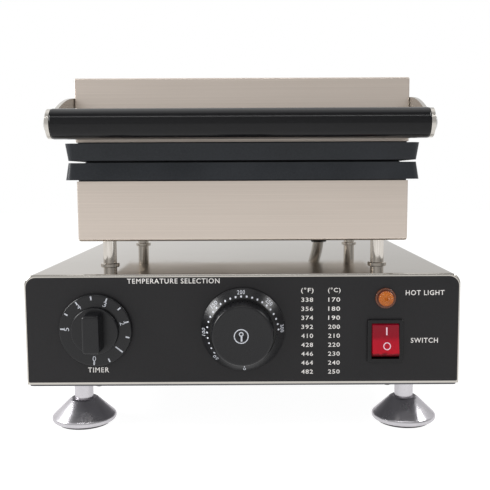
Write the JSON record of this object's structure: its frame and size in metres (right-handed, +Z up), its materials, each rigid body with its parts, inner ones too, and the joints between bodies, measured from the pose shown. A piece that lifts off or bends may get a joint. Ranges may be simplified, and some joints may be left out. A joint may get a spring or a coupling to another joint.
{
  "type": "churro maker",
  "caption": "countertop churro maker: two fluted heated plates hinged at the rear, front lid handle, base with timer, thermostat, switch, hot light and levelling feet",
  "frame": {"origin": "middle of the footprint of the whole object, on the surface that it stands on", "axes": "+X to the right seen from the front, +Y to the rear, +Z up"},
  "size_m": [0.3112, 0.345, 0.2601],
  "materials": {
    "casing_steel": "satin sheet",
    "base_steel": "bright polished sheet",
    "floor_steel": "dull sheet",
    "panel_black": "fine textured film",
    "fastener_steel": "plain",
    "leg_steel": "turned and polished",
    "plate_casting": "dark slate coating",
    "heater_steel": "heat darkened",
    "press_steel": "plain sheet",
    "bulb_brass": "plain",
    "bracket_steel": "plain sheet",
    "arm_steel": "satin sheet",
    "grip_black": "polished",
    "end_screw_steel": "polished",
    "movement_plastic": "plain",
    "shaft_steel": "turned",
    "knob_black": "satin",
    "switch_black": "satin",
    "paddle_red": "translucent red",
    "lamp_body": "dark rim",
    "lens_amber": "faceted amber",
    "terminal_plastic": "plain",
    "gland_plastic": "plain",
    "conduit_grey": "smooth sleeve",
    "grommet_rubber": "plain",
    "foot_chrome": "polished",
    "pad_rubber": "plain"
  },
  "bodies": {
    "base": {"base_shell": "base_steel", "bottom_plate": "floor_steel", "lower_housing": "casing_steel", "control_panel": "panel_black", "bottom_plate_screws": "fastener_steel", "foot_studs": "fastener_steel", "leg_nuts": "fastener_steel", "lower_plate_screws": "fastener_steel", "lower_clamp_screws": "fastener_steel", "lower_hinge_screws": "fastener_steel", "hinge_pins": "fastener_steel", "hinge_clips": "fastener_steel", "panel_screws": "fastener_steel", "support_legs": "leg_steel", "leg_collars": "leg_steel", "lower_plate": "plate_casting", "lower_heater": "heater_steel", "lower_press_plate": "press_steel", "thermostat_bulb": "bulb_brass", "lower_hinge_brackets": "bracket_steel", "timer_body": "movement_plastic", "thermostat_body": "movement_plastic", "rocker_switch_body": "switch_black", "hot_light_body": "lamp_body", "hot_light_lens": "lens_amber", "terminal_block": "terminal_plastic", "cable_gland": "gland_plastic", "gland_nut": "gland_plastic", "conduit": "conduit_grey", "conduit_grommet_lower": "grommet_rubber"},
    "lid": {"upper_housing": "casing_steel", "upper_plate": "plate_casting", "upper_plate_screws": "fastener_steel", "upper_heater": "heater_steel", "upper_press_plate": "press_steel", "upper_clamp_screws": "fastener_steel", "upper_hinge_brackets": "bracket_steel", "upper_hinge_screws": "fastener_steel", "handle_arm_left": "arm_steel", "handle_arm_right": "arm_steel", "arm_screws": "fastener_steel", "handle_grip": "grip_black", "handle_rod": "fastener_steel", "handle_end_screws": "end_screw_steel", "conduit_grommet_upper": "grommet_rubber"},
    "timer_dial": {"timer_knob": "knob_black", "timer_shaft": "shaft_steel"},
    "thermostat_dial": {"thermostat_knob": "knob_black", "thermostat_shaft": "shaft_steel"},
    "rocker": {"rocker_paddle": "paddle_red"},
    "foot_front_left": {"foot_front_left": "foot_chrome", "foot_pad_front_left": "pad_rubber"},
    "foot_front_right": {"foot_front_right": "foot_chrome", "foot_pad_front_right": "pad_rubber"},
    "foot_rear_left": {"foot_rear_left": "foot_chrome", "foot_pad_rear_left": "pad_rubber"},
    "foot_rear_right": {"foot_rear_right": "foot_chrome", "foot_pad_rear_right": "pad_rubber"}
  },
  "joints": [
    {"name": "lid_hinge", "type": "hinge", "parent": "base", "child": "lid", "pos_m": [0, 0.1265, 0.19925], "axis": [-1, 0, 0], "range_deg": [0, 100], "deforming": ["conduit"]},
    {"name": "timer_turn", "type": "hinge", "parent": "base", "child": "timer_dial", "pos_m": [-0.1046, -0.1315, 0.0798], "axis": [0, 1, 0], "range_deg": [0, 270]},
    {"name": "thermostat_turn", "type": "hinge", "parent": "base", "child": "thermostat_dial", "pos_m": [0.0002, -0.1315, 0.0798], "axis": [0, 1, 0], "range_deg": [0, 270]},
    {"name": "rocker_tip", "type": "hinge", "parent": "base", "child": "rocker", "pos_m": [0.1018, -0.1263, 0.0708], "axis": [1, 0, 0], "range_deg": [0, 16]},
    {"name": "foot_front_left_screw", "type": "slide", "parent": "base", "child": "foot_front_left", "axis": [0, 0, -1], "range_m": [0, 0.008]},
    {"name": "foot_front_right_screw", "type": "slide", "parent": "base", "child": "foot_front_right", "axis": [0, 0, -1], "range_m": [0, 0.008]},
    {"name": "foot_rear_left_screw", "type": "slide", "parent": "base", "child": "foot_rear_left", "axis": [0, 0, -1], "range_m": [0, 0.008]},
    {"name": "foot_rear_right_screw", "type": "slide", "parent": "base", "child": "foot_rear_right", "axis": [0, 0, -1], "range_m": [0, 0.008]}
  ]
}
